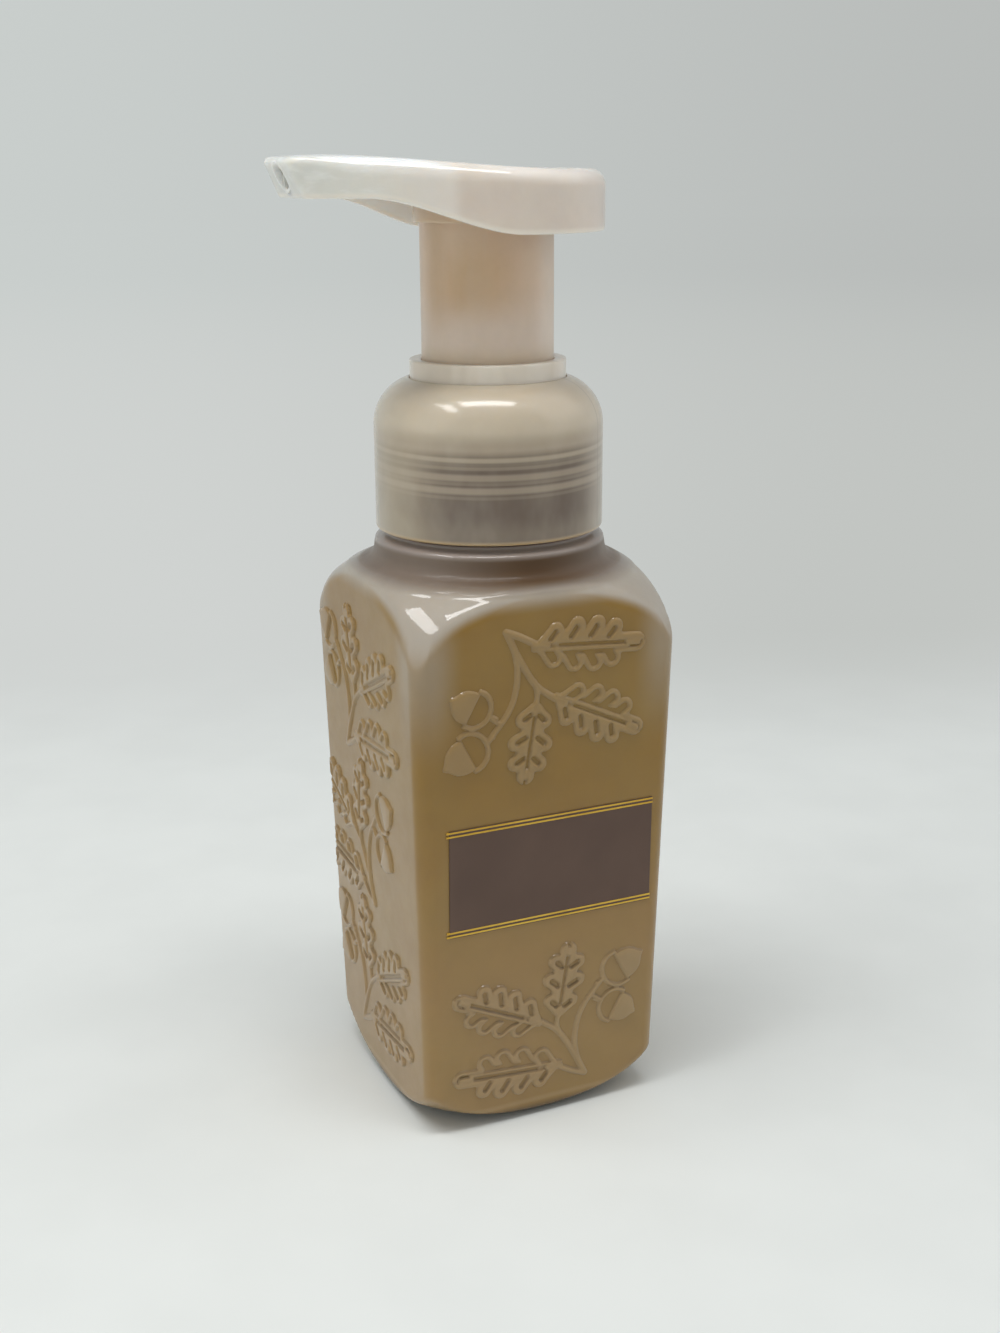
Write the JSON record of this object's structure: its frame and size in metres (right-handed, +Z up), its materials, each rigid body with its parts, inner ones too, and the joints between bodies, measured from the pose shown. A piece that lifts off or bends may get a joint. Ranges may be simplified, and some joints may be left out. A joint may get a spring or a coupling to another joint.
{
  "type": "foaming soap pump bottle",
  "caption": "Square blow-moulded bottle with a screw closure and a hand-pressed foam pump whose side spout turns with the head.",
  "frame": {"origin": "centre of the base, on the surface the bottle stands on", "axes": "+Z up along the pump's axis, the label faces -Y, the spout points along -X"},
  "size_m": [0.068, 0.055, 0.1854],
  "materials": {
    "bottle": "pearl-tinted translucent PET, glossy",
    "front_label": "dark brown printed film, satin, two gold rules top and bottom",
    "back_label": "plain pale film, satin",
    "closure_collar": "cream translucent polypropylene, glossy dome",
    "guide_ring": "natural cream polypropylene",
    "neck_gasket": "white foamed polyethylene washer",
    "pump_housing": "natural polypropylene",
    "dip_tube": "natural polyethylene tube",
    "ball_cage": "natural polypropylene",
    "inlet_ball": "polished stainless ball",
    "return_spring": "stainless spring wire",
    "liquid_piston": "low-density polyethylene",
    "piston_stem": "natural polypropylene",
    "air_piston": "low-density polyethylene",
    "air_valve": "thin elastomer disc",
    "outlet_ball": "polished stainless ball",
    "mixing_insert": "natural polypropylene",
    "mesh_holder": "natural polypropylene",
    "lower_mesh": "woven polyester screen",
    "upper_mesh": "woven polyester screen",
    "stem_sleeve": "peach translucent polypropylene",
    "spout_channel": "natural polypropylene",
    "pump_head": "frosted pearl polypropylene"
  },
  "bodies": {
    "bottle": {"bottle": "bottle", "front_label": "front_label", "back_label": "back_label"},
    "pump": {"pump_housing": "pump_housing", "guide_ring": "guide_ring", "neck_gasket": "neck_gasket", "dip_tube": "dip_tube", "ball_cage": "ball_cage", "return_spring": "return_spring"},
    "collar": {"closure_collar": "closure_collar"},
    "plunger": {"piston_stem": "piston_stem", "air_piston": "air_piston", "air_valve": "air_valve", "liquid_piston": "liquid_piston", "mixing_insert": "mixing_insert", "mesh_holder": "mesh_holder", "lower_mesh": "lower_mesh", "upper_mesh": "upper_mesh"},
    "head": {"pump_head": "pump_head", "spout_channel": "spout_channel", "stem_sleeve": "stem_sleeve"},
    "inlet_valve": {"inlet_ball": "inlet_ball"},
    "outlet_valve": {"outlet_ball": "outlet_ball"}
  },
  "joints": [
    {"name": "pump_lift", "type": "slide", "parent": "bottle", "child": "pump", "axis": [0, 0, 1], "range_m": [0, 0.0064]},
    {"name": "collar_turn", "type": "hinge", "parent": "pump", "child": "collar", "pos_m": [0, 0, 0.125], "axis": [0, 0, 1], "range_deg": [0, 540]},
    {"name": "head_press", "type": "slide", "parent": "pump", "child": "plunger", "axis": [0, 0, -1], "range_m": [0, 0.016], "stiffness_N_per_m": 500, "springref_m": -0.008, "deforming": ["return_spring"]},
    {"name": "head_swivel", "type": "hinge", "parent": "plunger", "child": "head", "pos_m": [0, 0, 0.175], "axis": [0, 0, 1], "continuous": true},
    {"name": "inlet_ball_lift", "type": "slide", "parent": "pump", "child": "inlet_valve", "axis": [0, 0, 1], "range_m": [0, 0.0012]},
    {"name": "outlet_ball_lift", "type": "slide", "parent": "plunger", "child": "outlet_valve", "axis": [0, 0, 1], "range_m": [0, 0.0012]}
  ],
  "couplings": [
    {"joint": "pump_lift", "follows": "collar_turn", "m_per_rad": 0.00066845}
  ]
}
